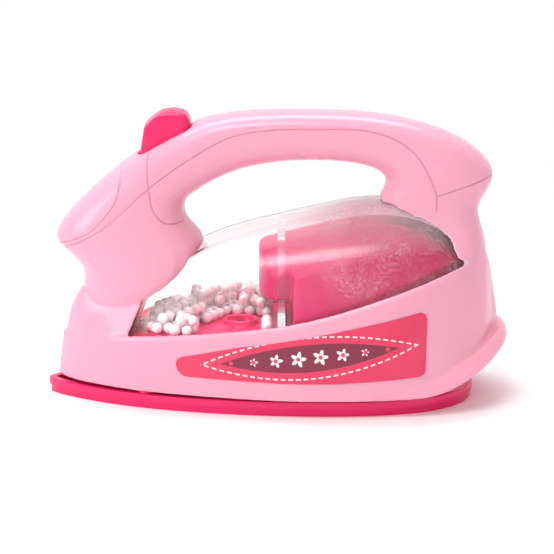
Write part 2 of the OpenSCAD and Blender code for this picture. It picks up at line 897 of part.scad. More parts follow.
module bead_floor() color(hot_pink)
    difference() {
        union() {
            translate([0, 0, floor_bottom])
                linear_extrude(height = floor_thick)
                    floor_plan(window_low_share[0] * half_length + slide_gap, divider_thick);
            translate([vent_x, 0, floor_bottom])
                cylinder(d = vent_d + 2 * vent_rim, h = floor_thick + vent_rise, $fn = round_sides);
            translate([vent_x, 0, floor_bottom - shroud_depth])
                difference() {
                    cylinder(r = shroud_r + shroud_wall, h = shroud_depth, $fn = round_sides);
                    translate([0, 0, -overrun])
                        cylinder(r = shroud_r, h = shroud_depth + overrun, $fn = round_sides);
                }
            for (side = [-1, 1])
                translate([vent_x, side * post_y, post_end])
                    cylinder(d = post_d, h = floor_bottom - post_end, $fn = round_sides);
        }
        translate([vent_x, 0, floor_bottom - overrun])
            difference() {
                cylinder(d = vent_d, h = floor_thick + vent_rise + 2 * overrun, $fn = round_sides);
                for (k = [0 : vent_bars - 1])
                    rotate([0, 0, 180 * k / vent_bars])
                        translate([-vent_d, -vent_rim / 2, overrun])
                            cube([2 * vent_d, vent_rim, floor_thick]);
            }
        for (side = [-1, 1])
            translate([vent_x, side * post_y, post_end - overrun])
                cylinder(d = screw_d + 2 * screw_gap, h = boss_d, $fn = round_sides);
    }

// Room of the hump, pulled in by inset, with a rounded front that passes through the divider over the beads
module cover_zone(inset) {
    translate([divider_thick + cover_space + inset, -half_width, 0])
        cube([dome_end - divider_thick - 2 * cover_space - 2 * inset, body_width, handle_height]);
    translate([0, 0, cover_nose_low + inset])
        linear_extrude(height = handle_height) {
            scale([cover_nose - inset, cover_nose_width / 2 - inset])
                circle(r = 1, $fn = round_sides);
            translate([0, inset - cover_nose_width / 2])
                square([divider_thick + cover_space + inset + overrun, cover_nose_width - 2 * inset]);
        }
}

module rear_cover() color(hot_pink)
    difference() {
        union() {
            translate([0, 0, floor_bottom])
                linear_extrude(height = floor_thick)
                    floor_plan(divider_thick + seat_gap, dome_end - seat_gap);
            intersection() {
                tank(dome_wall + cover_space, floor_bottom + floor_thick / 2, cover_space);
                cover_zone(0);
            }
        }
        intersection() {
            tank(dome_wall + cover_space + cover_wall, floor_bottom - overrun, cover_space);
            cover_zone(cover_wall);
        }
    }

// Loose foam beads, heaped away from the vent and off a bare patch on the near side

function bead_fits(x, y, z) =
    let (
        lean = (z - floor_top) / 2,
        away = norm([x - vent_x, y]),
        room = bead_d / 2 + slide_gap
    )
    x > heap_front_share * half_length + lean
        && x < -room
        && abs(y) < dome_edge(x) - dome_wall - room - lean
        && away > vent_d / 2 + vent_rim + bead_d / 2 + bead_gap + lean
        && !(x > bare_x_share * half_length && x < -bead_pitch && y < bare_y_share * half_width);

// The top layer lies only on the far side, towards the divider
function in_high_heap(x, y) = x > high_heap_share * half_length && y > far_heap_share * half_width;

bead_places = [
    for (layer = [0 : heap_layers - 1])
        for (row = [-heap_rows : heap_rows])
            for (col = [0 : heap_columns])
                let (
                    x = heap_front_share * half_length
                        + bead_pitch * (col + (abs(row) % 2) / 2 + layer / 2),
                    y = bead_pitch * sqrt(3) / 2 * (row + layer / 3),
                    z = floor_top + bead_gap + bead_d / 2 + layer * bead_pitch * sqrt(2 / 3)
                )
                if (bead_fits(x, y, z))
                    if (layer == 0 || (col + 2 * row) % 3 != 0)
                        if (layer < heap_layers - 1 || in_high_heap(x, y))
                            [x, y, z]
];

module beads() color(bead_white)
    for (p = bead_places)
        translate(p)
            sphere(d = bead_d, $fn = ring_sides);

// Fan, motor and bracket under the vent

module fan() color(bead_white)
    translate([vent_x, 0, fan_base])
        difference() {
            union() {
                cylinder(d = fan_hub_d, h = fan_height, $fn = round_sides);
                cylinder(d = fan_d, h = blade_thick, $fn = round_sides);
                for (k = [0 : fan_blades - 1])
                    rotate([0, 0, 360 * k / fan_blades])
                        intersection() {
                            translate([0, -blade_thick / 2, blade_thick / 2])
                                cube([fan_d / 2, blade_thick, fan_height - blade_thick]);
                            cylinder(d = fan_d - blade_thick, h = fan_height, $fn = round_sides);
                        }
            }
            translate([0, 0, -overrun])
                cylinder(d = shaft_d + 2 * running_gap, h = fan_height + 2 * overrun, $fn = round_sides);
        }

module motor_shaft() color(steel)
    translate([vent_x, 0, motor_top - shaft_in_motor])
        cylinder(d = shaft_d, h = fan_top - motor_top + shaft_in_motor, $fn = round_sides);

module motor() color(steel)
    translate([vent_x, 0, motor_base])
        difference() {
            cylinder(d = motor_d, h = motor_height, $fn = round_sides);
            translate([0, 0, motor_height - shaft_in_motor - slide_gap])
                cylinder(d = shaft_d + 2 * running_gap, h = motor_height, $fn = round_sides);
        }

module motor_bracket() color(dark_plastic)
    difference() {
        union() {
            translate([vent_x, 0, motor_base - cup_wall])
                cylinder(d = motor_d + 2 * seat_gap + 2 * cup_wall, h = motor_height, $fn = round_sides);
            translate([vent_x - post_d / 2, -post_y, post_end - seat_gap - ear_thick])
                cube([post_d, 2 * post_y, ear_thick]);
            for (side = [-1, 1])
                translate([vent_x, side * post_y, post_end - seat_gap - ear_thick])
                    cylinder(d = post_d, h = ear_thick, $fn = round_sides);
        }
        translate([vent_x, 0, motor_base])
            cylinder(d = motor_d + 2 * seat_gap, h = 2 * motor_height, $fn = round_sides);
        for (side = [-1, 1])
            translate([vent_x, side * post_y, motor_base])
                cylinder(d = screw_d + 2 * screw_gap, h = 2 * motor_height, $fn = round_sides);
    }

module bracket_screw(side) color(steel)
    translate([vent_x, side * post_y, post_end - 2 * seat_gap - ear_thick])
        screw(0, ear_thick + boss_d - 2 * overrun);

module bracket_screw_left() bracket_screw(-1);

module bracket_screw_right() bracket_screw(1);

// Battery tray with two cells and their contacts

module battery_tray() color(dark_plastic)
    difference() {
        translate([0, 0, sole_floor + seat_gap])
            linear_extrude(height = tray_top + tray_wall - sole_floor - seat_gap)
                tray_plan();
        translate([tray_x - door_gap, -door_width / 2 - door_gap, 0])
            cube([tray_length + door_gap, door_width + 2 * door_gap, tray_top]);
        translate([tray_x - tab_reach - overrun, -tab_width / 2 - door_gap, 0])
            cube([2 * tab_reach, tab_width + 2 * door_gap, sole_floor + tab_thick + tab_room]);
        translate([door_boss_x, 0, -overrun])
            cylinder(d = screw_d + 4 * screw_gap, h = tray_top / 2, $fn = round_sides);
    }

// One cell with its nub towards the heel, or turned end for end
module cell(side) color(steel)
    translate([tray_x + plate_thick + (side < 0 ? contact_length : nub_length), side * cell_y, cell_z])
        rotate([0, 90, 0]) {
            cylinder(d = cell_d, h = cell_length, $fn = round_sides);
            translate([0, 0, side < 0 ? cell_length : -nub_length + seat_gap])
                cylinder(d = nub_d, h = nub_length - seat_gap, $fn = round_sides);
        }

module cell_left() cell(-1);

module cell_right() cell(1);

module contact_spring(side) color(steel)
    translate([side < 0 ? tray_x + plate_thick : tray_x + tray_length - plate_thick, side * cell_y, cell_z])
        rotate([0, side < 0 ? 90 : -90, 0])
            difference() {
                cylinder(
                    d1 = contact_wide_d,
                    d2 = contact_narrow_d,
                    h = contact_length - seat_gap,
                    $fn = round_sides
                );
                translate([0, 0, -overrun])
                    cylinder(
                        d = contact_narrow_d - 2 * spring_wire,
                        h = contact_length + 2 * overrun,
                        $fn = round_sides
                    );
            }

module contact_spring_left() contact_spring(-1);

module contact_spring_right() contact_spring(1);

// Flat plates at the two ends of the tray, behind the coil of one cell and the nub of the other
module contact_plate(at_rear) color(steel)
    for (side = [-1, 1])
        translate([
            tray_x + (at_rear ? tray_length - plate_thick + seat_gap / 2 : 0),
            side * cell_y - plate_size / 2,
            cell_z - plate_size / 2
        ])
            cube([plate_thick - seat_gap / 2, plate_size, plate_size]);

module contact_plate_left() contact_plate(false);

module contact_plate_right() contact_plate(true);

// Printed sticker on the near side

module side_label() color(maroon)
    intersection() {
        difference() {
            skirt(-label_gap - label_thick);
            skirt(-label_gap);
        }
        rotate([90, 0, 0])
            linear_extrude(height = body_width)
                offset(r = label_round)
                    offset(delta = -label_round)
                        polygon([for (p = label_shares) [p[0] * half_length, p[1] * handle_height]]);
    }

sole_plate();
battery_door();
door_screw();
left_shell();
right_shell();
body_screw_nose();
body_screw_handle();
body_screw_hump();
body_screw_heel();
sole_screw_front_left();
sole_screw_front_right();
sole_screw_rear_left();
sole_screw_rear_right();
steam_button();
button_spring();
switch_shelf();
switch_body();
switch_plunger();
clear_dome();
chamber_divider();
bead_floor();
rear_cover();
beads();
fan();
motor_shaft();
motor();
motor_bracket();
bracket_screw_left();
bracket_screw_right();
battery_tray();
cell_left();
cell_right();
contact_spring_left();
contact_spring_right();
contact_plate_left();
contact_plate_right();
side_label();
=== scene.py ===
import math
import random

import bmesh
import bpy
import numpy as np
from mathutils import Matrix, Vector, noise
from mathutils.bvhtree import BVHTree


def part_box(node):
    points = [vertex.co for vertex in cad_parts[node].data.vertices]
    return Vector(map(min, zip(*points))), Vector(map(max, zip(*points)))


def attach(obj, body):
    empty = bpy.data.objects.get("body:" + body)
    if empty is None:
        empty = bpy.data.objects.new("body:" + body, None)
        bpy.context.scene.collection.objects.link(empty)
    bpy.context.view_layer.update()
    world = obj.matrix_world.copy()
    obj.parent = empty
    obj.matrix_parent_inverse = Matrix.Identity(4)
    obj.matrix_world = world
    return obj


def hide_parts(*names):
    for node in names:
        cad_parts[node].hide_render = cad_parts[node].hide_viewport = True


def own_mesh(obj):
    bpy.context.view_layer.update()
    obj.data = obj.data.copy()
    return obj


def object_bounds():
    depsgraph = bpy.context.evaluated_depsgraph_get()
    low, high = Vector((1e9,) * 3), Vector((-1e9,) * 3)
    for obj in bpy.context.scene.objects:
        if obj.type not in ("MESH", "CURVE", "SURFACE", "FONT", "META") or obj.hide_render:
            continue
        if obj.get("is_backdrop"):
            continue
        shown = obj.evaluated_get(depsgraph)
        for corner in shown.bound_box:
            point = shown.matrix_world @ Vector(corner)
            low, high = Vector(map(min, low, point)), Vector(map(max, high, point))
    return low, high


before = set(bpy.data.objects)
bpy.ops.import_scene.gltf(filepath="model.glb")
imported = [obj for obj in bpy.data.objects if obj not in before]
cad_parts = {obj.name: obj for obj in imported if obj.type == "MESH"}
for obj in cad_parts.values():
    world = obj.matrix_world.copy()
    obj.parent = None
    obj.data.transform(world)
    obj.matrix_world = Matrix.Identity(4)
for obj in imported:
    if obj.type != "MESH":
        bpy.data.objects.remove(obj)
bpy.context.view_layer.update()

# Sole plate: the leaf-shaped foot that the toy slides on.
# One glossy hot pink injection moulding with a ridge round its side, held by four screws from below.
MM = 0.001
HOT_PINK = (0.86, 0.012, 0.15, 1)
HOT_PINK_DEEP = (0.82, 0.009, 0.135, 1)
EDGE_ROUND = 0.3 * MM
EDGE_HEIGHTS = (0, 2.8 * MM, 5.6 * MM)
EDGE_LEAST = 1.2 * MM
EDGE_TURN = math.radians(50)
FLAT_TURN = math.radians(0.5)
WELD = 0.002 * MM


def ramp(tree, source, low, high, start=0.3, end=0.7):
    """Colour that goes from low to high as the source goes from start to end."""
    node = tree.nodes.new("ShaderNodeValToRGB")
    node.color_ramp.elements[0].position = start
    node.color_ramp.elements[0].color = low
    node.color_ramp.elements[1].position = end
    node.color_ramp.elements[1].color = high
    tree.links.new(source, node.inputs["Fac"])
    return node.outputs["Color"]


def speckle(tree, place, scale, detail=3.0, roughness=0.55):
    """Cloudy noise over the piece."""
    node = tree.nodes.new("ShaderNodeTexNoise")
    node.inputs["Scale"].default_value = scale
    node.inputs["Detail"].default_value = detail
    node.inputs["Roughness"].default_value = roughness
    tree.links.new(place, node.inputs["Vector"])
    return node.outputs["Fac"]


def stretch(tree, source, low, high, start=0.0, end=1.0):
    """Number that goes from low to high as the source goes from start to end."""
    node = tree.nodes.new("ShaderNodeMapRange")
    node.inputs["From Min"].default_value = start
    node.inputs["From Max"].default_value = end
    node.inputs["To Min"].default_value = low
    node.inputs["To Max"].default_value = high
    tree.links.new(source, node.inputs["Value"])
    return node.outputs["Result"]


def skin_bump(tree, source, shader, strength, depth):
    """Fine relief of a surface."""
    node = tree.nodes.new("ShaderNodeBump")
    node.inputs["Strength"].default_value = strength
    node.inputs["Distance"].default_value = depth
    tree.links.new(source, node.inputs["Height"])
    tree.links.new(node.outputs["Normal"], shader.inputs["Normal"])


def fresh_material(name):
    """New material, its node tree, its shader and its Object coordinates."""
    mat = bpy.data.materials.new(name)
    mat.use_nodes = True
    place = mat.node_tree.nodes.new("ShaderNodeTexCoord").outputs["Object"]
    return mat, mat.node_tree, mat.node_tree.nodes["Principled BSDF"], place


def moulded_plastic(name, colour, deep, gloss_low, gloss_high, skin=0.08):
    """Pigmented moulded plastic: slight clouding of the colour, flow marks in the gloss, fine tool skin."""
    mat, tree, shader, place = fresh_material(name)
    clouds = speckle(tree, place, scale=24)
    tree.links.new(ramp(tree, clouds, deep, colour), shader.inputs["Base Color"])
    flow = speckle(tree, place, scale=60, detail=4)
    tree.links.new(stretch(tree, flow, gloss_low, gloss_high), shader.inputs["Roughness"])
    tool_skin = speckle(tree, place, scale=1400, detail=2)
    skin_bump(tree, tool_skin, shader, strength=skin, depth=0.02 * MM)
    return mat


def welded(*nodes):
    """A bmesh with the CAD solids of these nodes, merged."""
    bm = bmesh.new()
    for node in nodes:
        bm.from_mesh(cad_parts[node].data)
    bmesh.ops.remove_doubles(bm, verts=bm.verts, dist=WELD)
    return bm


def flattened(bm):
    """Join the triangles of flat faces, so that only real edges are left."""
    bmesh.ops.dissolve_limit(bm, angle_limit=FLAT_TURN, verts=bm.verts, edges=bm.edges)


def rounded(bm, edges, size):
    """Round these edges as a mould does."""
    bmesh.ops.bevel(
        bm, geom=edges, offset=size, offset_type="OFFSET", segments=2, profile=0.5,
        affect="EDGES", clamp_overlap=True, material=-1,
    )


def shown(name, bm, smooth_angle=None):
    """Object with this mesh, smooth apart from edges that turn by more than smooth_angle in degrees."""
    mesh = bpy.data.meshes.new(name)
    bm.to_mesh(mesh)
    bm.free()
    piece = bpy.data.objects.new(name, mesh)
    bpy.context.scene.collection.objects.link(piece)
    if smooth_angle is not None:
        mesh.shade_smooth()
        mesh.set_sharp_from_angle(angle=math.radians(smooth_angle))
    return piece


def dress(piece, mat, node, body="body"):
    """Give a shown piece its material and put it in the place of its CAD node."""
    piece.data.materials.clear()
    piece.data.materials.append(mat)
    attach(piece, body)
    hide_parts(node)


def is_outline(edge):
    """True for a sharp level edge round the plate, at one of its three heights."""
    a, b = (v.co.z for v in edge.verts)
    return (
        len(edge.link_faces) == 2 and edge.calc_face_angle() > EDGE_TURN and edge.calc_length() > EDGE_LEAST
        and abs(a - b) < 0.01 * MM and min(abs(a - height) for height in EDGE_HEIGHTS) < 0.05 * MM
    )


hot_pink = moulded_plastic("hot_pink_gloss", HOT_PINK, HOT_PINK_DEEP, gloss_low=0.24, gloss_high=0.34)
bm = welded("sole_plate")
flattened(bm)
rounded(bm, [e for e in bm.edges if is_outline(e)], EDGE_ROUND)
dress(shown("sole_plate_moulding", bm, 35), hot_pink, "sole_plate")


# Battery door: the lid of the battery tray, flush in the sole.
# Same hot pink moulding, hooked in at the front by a tab and held by one captive screw.
def paint(nodes, mat):
    """Give CAD nodes that are shown as they are their material."""
    for node in nodes:
        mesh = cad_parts[node].data
        mesh.materials.clear()
        mesh.materials.append(mat)


paint(["battery_door"], hot_pink)

# Battery tray, motor bracket and switch housing: black moulded inner pieces.
# Plain matt ABS with a fine spark-eroded skin. The tray stands in the sole plate, the bracket is screwed to
# posts under the bead floor, and the switch hangs under its shelf.
BLACK = (0.02, 0.02, 0.022, 1)
BLACK_DEEP = (0.013, 0.013, 0.014, 1)
black = moulded_plastic("black_inner_plastic", BLACK, BLACK_DEEP, gloss_low=0.45, gloss_high=0.6, skin=0.3)
paint(["battery_tray", "motor_bracket", "switch_body"], black)

# Cells: two standard round cells that drive the fan.
# Rolled steel cans in a plain grey shrink sleeve, laid in the tray between their contacts.
SLEEVE = (0.33, 0.34, 0.38, 1)
SLEEVE_DARK = (0.26, 0.27, 0.3, 1)


def brushed_metal(name, colour, dark, gloss_low, gloss_high):
    """Metal with a fine grain in its colour and its gloss."""
    mat, tree, shader, place = fresh_material(name)
    shader.inputs["Metallic"].default_value = 1
    grain = speckle(tree, place, scale=260, detail=5)
    tree.links.new(ramp(tree, grain, dark, colour), shader.inputs["Base Color"])
    tree.links.new(stretch(tree, grain, gloss_low, gloss_high), shader.inputs["Roughness"])
    skin_bump(tree, speckle(tree, place, scale=2200, detail=2), shader, strength=0.15, depth=0.01 * MM)
    return mat


sleeve = brushed_metal("cell_sleeve", SLEEVE, SLEEVE_DARK, gloss_low=0.3, gloss_high=0.42)
paint(["cell_left", "cell_right"], sleeve)

# Screws, contact plates, motor can and shaft: plated or plain steel.
# Turned, drawn or stamped, with a zinc or nickel finish.
STEEL = (0.62, 0.63, 0.65, 1)
STEEL_DARK = (0.48, 0.49, 0.51, 1)
STEEL_NODES = [
    "door_screw", "body_screw_nose", "body_screw_handle", "body_screw_hump", "body_screw_heel",
    "sole_screw_front_left", "sole_screw_front_right", "sole_screw_rear_left", "sole_screw_rear_right",
    "bracket_screw_left", "bracket_screw_right", "motor_shaft", "motor",
    "contact_plate_left", "contact_plate_right",
]
plated_steel = brushed_metal("plated_steel", STEEL, STEEL_DARK, gloss_low=0.24, gloss_high=0.4)
paint(STEEL_NODES, plated_steel)

# Springs: the button's return spring on the switch shelf, and the battery tray's two coil contacts.
# Cold-wound plated wire, shown as coils in the place of the CAD's plain sleeves.
WIRE = 0.8 * MM
WIRE_SIDES = 10
TURN_STEPS = 28
CONTACT_HEAD = 3 * MM
CONTACT_TURNS = 3
RETURN_HEAD = 4 * MM
RETURN_TURNS = 5


def coil(node, way, head, turns):
    """Round wire wound inside a CAD sleeve's box, from its wide foot along way to a head of this radius."""
    low, high = (Vector(corner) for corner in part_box(node))
    half = (high - low) / 2
    reach = abs(half.dot(way))
    foot = (low + high) / 2 - way * reach
    wide = max(half.y, half.z) if way.x else half.x
    side = way.orthogonal().normalized()
    third = way.cross(side)
    spokes = [2 * math.pi * n / WIRE_SIDES for n in range(WIRE_SIDES)]
    steps = turns * TURN_STEPS
    bm = bmesh.new()
    rings = []
    for k in range(steps + 1):
        share = k / steps
        angle = 2 * math.pi * turns * share
        out = side * math.cos(angle) + third * math.sin(angle)
        radius = wide + (head - wide) * share - WIRE / 2
        middle = foot + way * (WIRE / 2 + (2 * reach - WIRE) * share) + out * radius
        offsets = [(out * math.cos(a) + way * math.sin(a)) * WIRE / 2 for a in spokes]
        rings.append([bm.verts.new(middle + offset) for offset in offsets])
    for a, b in zip(rings, rings[1:]):
        for n in range(WIRE_SIDES):
            bm.faces.new((a[n - 1], a[n], b[n], b[n - 1]))
    bm.faces.new(rings[0])
    bm.faces.new(rings[-1])
    bmesh.ops.recalc_face_normals(bm, faces=bm.faces)
    piece = shown(node + "_coil", bm, 40)
    dress(piece, plated_steel, node)
    return piece


coil("contact_spring_left", Vector((1, 0, 0)), CONTACT_HEAD, CONTACT_TURNS)
coil("contact_spring_right", Vector((-1, 0, 0)), CONTACT_HEAD, CONTACT_TURNS)
return_spring = coil("button_spring", Vector((0, 0, 1)), RETURN_HEAD, RETURN_TURNS)
low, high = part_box("button_spring")
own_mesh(return_spring)

# Fan and switch plunger: small natural white mouldings.
# Unpigmented polypropylene with a satin skin, pressed on the shaft or sliding in the switch.
WHITE = (0.8, 0.8, 0.78, 1)
WHITE_DEEP = (0.74, 0.74, 0.72, 1)
white_plastic = moulded_plastic("natural_white_plastic", WHITE, WHITE_DEEP, gloss_low=0.35, gloss_high=0.5)
paint(["fan", "switch_plunger"], white_plastic)

# Switch shelf: the ledge inside the cowl that carries the spring and the switch.
# Moulded in the same hot pink plastic as the button, resting on rails in both shells.
paint(["switch_shelf"], hot_pink)

# Bead floor: the deck of the front chamber, with a raised round air vent.
# Hot pink moulding that rests on a rail round the inside of the shells and carries the fan's shroud below.
DECK_VOXEL = 0.42 * MM
DECK_RELAX = 3
DECK_TRIANGLES = 150000


def applied(piece):
    """Turn a piece's modifiers into mesh."""
    graph = bpy.context.evaluated_depsgraph_get()
    piece.data = bpy.data.meshes.new_from_object(piece.evaluated_get(graph))
    piece.modifiers.clear()


def moulded_copy(name, bm, voxel, rounds, triangles=None):
    """Copy of CAD solids with the soft edges that a polished tool leaves."""
    piece = shown(name, bm)
    cubes = piece.modifiers.new("voxels", "REMESH")
    cubes.mode = "VOXEL"
    cubes.voxel_size = voxel
    relax = piece.modifiers.new("relax", "SMOOTH")
    relax.factor = 0.5
    relax.iterations = rounds
    applied(piece)
    if triangles:
        fewer = piece.modifiers.new("fewer", "DECIMATE")
        fewer.ratio = min(1.0, triangles / (2 * len(piece.data.polygons)))
        applied(piece)
    piece.data.shade_smooth()
    return piece


deck = moulded_copy("bead_deck", welded("bead_floor"), DECK_VOXEL, DECK_RELAX, DECK_TRIANGLES)
dress(deck, hot_pink, "bead_floor")

# Rear cover: the hump over the batteries, seen through the rear of the window.
# One even wall of hot pink plastic that lets some light in, with a rounded front and a duller skin than the
# sole plate's, standing on the same rail as the bead floor. Its pink is painted darker than the sole
# plate's, as shade under the handle.
# Darker than the sole plate's hot pink: painted shade of the chamber under the handle
HUMP_PINK_SHADED = (0.62, 0.005, 0.13, 1)
HUMP_PINK_SHADED_DEEP = (0.58, 0.004, 0.12, 1)
HUMP_VOXEL = 0.5 * MM
HUMP_RELAX = 24
HUMP_TRIANGLES = 120000


def lets_light_in(shader, weight, radius, scale):
    """Light that goes into the surface comes out again nearby, in colour."""
    shader.inputs["Subsurface Weight"].default_value = weight
    shader.inputs["Subsurface Radius"].default_value = radius
    shader.inputs["Subsurface Scale"].default_value = scale


hump = moulded_copy("battery_hump", welded("rear_cover"), HUMP_VOXEL, HUMP_RELAX, HUMP_TRIANGLES)
hump_pink_shaded = moulded_plastic("hump_pink_shaded_gloss", HUMP_PINK_SHADED, HUMP_PINK_SHADED_DEEP, gloss_low=0.3, gloss_high=0.42)
shader = hump_pink_shaded.node_tree.nodes["Principled BSDF"]
shader.inputs["Specular IOR Level"].default_value = 0.2
lets_light_in(shader, 0.6, (1, 0.2, 0.35), 6 * MM)
dress(hump, hump_pink_shaded, "rear_cover")

# Foam beads: loose balls that the fan blows about.
# Expanded polystyrene, each a little out of round, with the shallow cells of the foam on its skin.
FOAM = (0.95, 0.85, 0.86, 1)
FOAM_DEEP = (0.9, 0.77, 0.78, 1)
# Radius of a ball and depth of its dents, as shares of its CAD sphere's and its own radius
BALL_SHARES = (0.86, 0.995)
DENT_SHARE = 0.05
DENT_SPREAD = 1.4
SEED_REACH = 90
bm = welded("beads")
left = set(bm.verts)
centres = []
while left:
    group = [left.pop()]
    for v in group:
        for e in v.link_edges:
            other = e.other_vert(v)
            if other in left:
                left.remove(other)
                group.append(other)
    low = Vector(min(v.co[k] for v in group) for k in range(3))
    high = Vector(max(v.co[k] for v in group) for k in range(3))
    centres.append(((low + high) / 2, (high.z - low.z) / 2))
bm.free()
centres.sort(key=lambda c: tuple(round(k, 6) for k in c[0]))
bm = bmesh.new()
rng = random.Random(7)
for centre, radius in centres:
    size = radius * rng.uniform(*BALL_SHARES)
    seat = centre - Vector((0, 0, radius - size))
    ball = bmesh.ops.create_icosphere(bm, subdivisions=3, radius=size)["verts"]
    seed = Vector([rng.uniform(0, SEED_REACH) for k in range(3)])
    for v in ball:
        way = v.co.normalized()
        dent = 0.5 * (noise.noise(way * DENT_SPREAD + seed) - 1)
        v.co = way * size * (1 + DENT_SHARE * min(dent, 0)) + seat
balls = shown("foam_beads", bm)
balls.data.shade_smooth()
foam, tree, shader, place = fresh_material("foam_white")
grain = speckle(tree, place, scale=900, detail=3)
tree.links.new(ramp(tree, grain, FOAM_DEEP, FOAM), shader.inputs["Base Color"])
shader.inputs["Roughness"].default_value = 0.7
lets_light_in(shader, 0.6, (1, 0.85, 0.85), 2.5 * MM)
cells = tree.nodes.new("ShaderNodeTexVoronoi")
cells.inputs["Scale"].default_value = 1500
tree.links.new(place, cells.inputs["Vector"])
skin_bump(tree, cells.outputs["Distance"], shader, strength=0.35, depth=0.05 * MM)
dress(balls, foam, "beads")

# Chamber divider: the upright clear wall between the two chambers.
# Clear styrene moulded to the dome's section, open below for the hump's front, standing on the bead floor.
WALL_TINT = (0.99, 0.985, 0.985, 1)
WALL_ROUND = 0.35 * MM
# Darker pink tint of the clear plastic's rear: painted shade over the hump behind it
REAR_SHADE_TINT = (0.82, 0.68, 0.72)
SHADOW_TINT = (0.97, 0.96, 0.965, 1)


def sums(tree, operation, first, second=None):
    """Maths on sockets or plain numbers."""
    node = tree.nodes.new("ShaderNodeMath")
    node.operation = operation
    for k, value in enumerate((first, second)):
        if isinstance(value, (int, float)):
            node.inputs[k].default_value = value
        elif value is not None:
            tree.links.new(value, node.inputs[k])
    return node.outputs[0]


def mixed(tree, share, first, second, output):
    """Send a mix of two shaders to the output node of this name."""
    mix = tree.nodes.new("ShaderNodeMixShader")
    tree.links.new(share, mix.inputs["Fac"])
    tree.links.new(first, mix.inputs[1])
    tree.links.new(second, mix.inputs[2])
    tree.links.new(mix.outputs["Shader"], tree.nodes[output].inputs["Surface"])


def clear_plastic(name, tint, wear_and_shade, rough=0.04):
    """Clear styrene, with lamp light going straight through it.

    With wear at 1, dust lies on its top and its rear is scuffed; the rear is also tinted darker and pinker,
    painted shade over the hump behind it. At 0 it is new.
    """
    mat, tree, shader, place = fresh_material(name)
    shader.inputs["Roughness"].default_value = rough
    shader.inputs["IOR"].default_value = 1.06
    shader.inputs["Coat Weight"].default_value = 0.4
    shader.inputs["Coat Roughness"].default_value = 0.18
    axes = tree.nodes.new("ShaderNodeSeparateXYZ")
    tree.links.new(place, axes.inputs["Vector"])
    along, up = axes.outputs["X"], axes.outputs["Z"]
    rear = stretch(tree, along, 0, 1, start=0, end=30 * MM)
    band = stretch(tree, up, 0, 1, start=40 * MM, end=48 * MM)
    patches = stretch(tree, speckle(tree, place, scale=90, detail=3), 0.3, 1, start=0.4, end=0.64)
    fine = speckle(tree, place, scale=950, detail=4, roughness=0.75)
    scratches = stretch(tree, fine, 0.1, 1, start=0.49, end=0.62)
    zone = sums(tree, "MULTIPLY", rear, band)
    scuffs = sums(tree, "MULTIPLY", zone, sums(tree, "MULTIPLY", patches, scratches))
    dust = stretch(tree, up, 0.01 * wear_and_shade, 0.22 * wear_and_shade, start=60 * MM, end=74 * MM)
    haze = sums(tree, "ADD", stretch(tree, scuffs, 0, 0.25 * wear_and_shade), dust)
    tree.links.new(stretch(tree, haze, 1, 0), shader.inputs["Transmission Weight"])
    # Painted shade: the rear is tinted darker and pinker over the hump behind it.
    rear_shade = tuple(1 - wear_and_shade * (1 - share) for share in REAR_SHADE_TINT) + (1,)
    tree.links.new(ramp(tree, rear, tint, rear_shade, start=0, end=1), shader.inputs["Base Color"])
    skin_bump(tree, speckle(tree, place, scale=55, detail=2), shader, strength=0.05, depth=0.3 * MM)
    through = tree.nodes.new("ShaderNodeBsdfTransparent")
    through.inputs["Color"].default_value = SHADOW_TINT
    in_shadow = tree.nodes.new("ShaderNodeLightPath").outputs["Is Shadow Ray"]
    mixed(tree, in_shadow, shader.outputs["BSDF"], through.outputs["BSDF"], "Material Output")
    return mat


bm = welded("chamber_divider")
flattened(bm)
rounded(bm, bm.edges[:], WALL_ROUND)
wall = shown("clear_divider", bm, 40)
dress(wall, clear_plastic("clear_wall", WALL_TINT, wear_and_shade=0.2), "chamber_divider")

# Clear dome: the window over both chambers.
# One thin clear styrene moulding with two crease lines along its top, held in the opening of the shells.
# Its flat end walls and its foot are left rough by the tool, and are painted pink for the light that the
# pink pieces round them throw in.
DOME_TINT = (0.985, 0.972, 0.976, 1)
END_PAINTED_PINK = (0.96, 0.42, 0.46, 1)
END_ON = 0.9
FOOT_TOP = 28 * MM
dome = shown("clear_window", welded("clear_dome"), 28)
dress(dome, clear_plastic("clear_styrene", DOME_TINT, wear_and_shade=1), "clear_dome")
dome.data.materials.append(clear_plastic("frosted_end", END_PAINTED_PINK, wear_and_shade=0, rough=0.8))
for face in dome.data.polygons:
    if abs(face.normal.x) > END_ON or face.center.z < FOOT_TOP:
        face.material_index = 1

# Body shells: left and right half of the pale pink body, screwed together on the centre plane.
# Satin gloss polypropylene from a two-part tool, with moulded grooves that mark out the grip and nose cap.
# The plastic lets a little light in. A painted highlight runs along the thin rim round the window, and
# painted shade lies in the grooves.
PALE_PINK = (0.96, 0.405, 0.535, 1)
PALE_PINK_DEEP = (0.95, 0.385, 0.515, 1)
# Painted shade for the floor of the grooves
GROOVE_PAINTED_SHADE = (0.76, 0.28, 0.38, 1)
RIM_HIGHLIGHT = (0.97, 0.7, 0.79, 1)
SHELL_VOXEL = 0.5 * MM
SHELL_RELAX = 20
PAIR_TRIANGLES = 270000
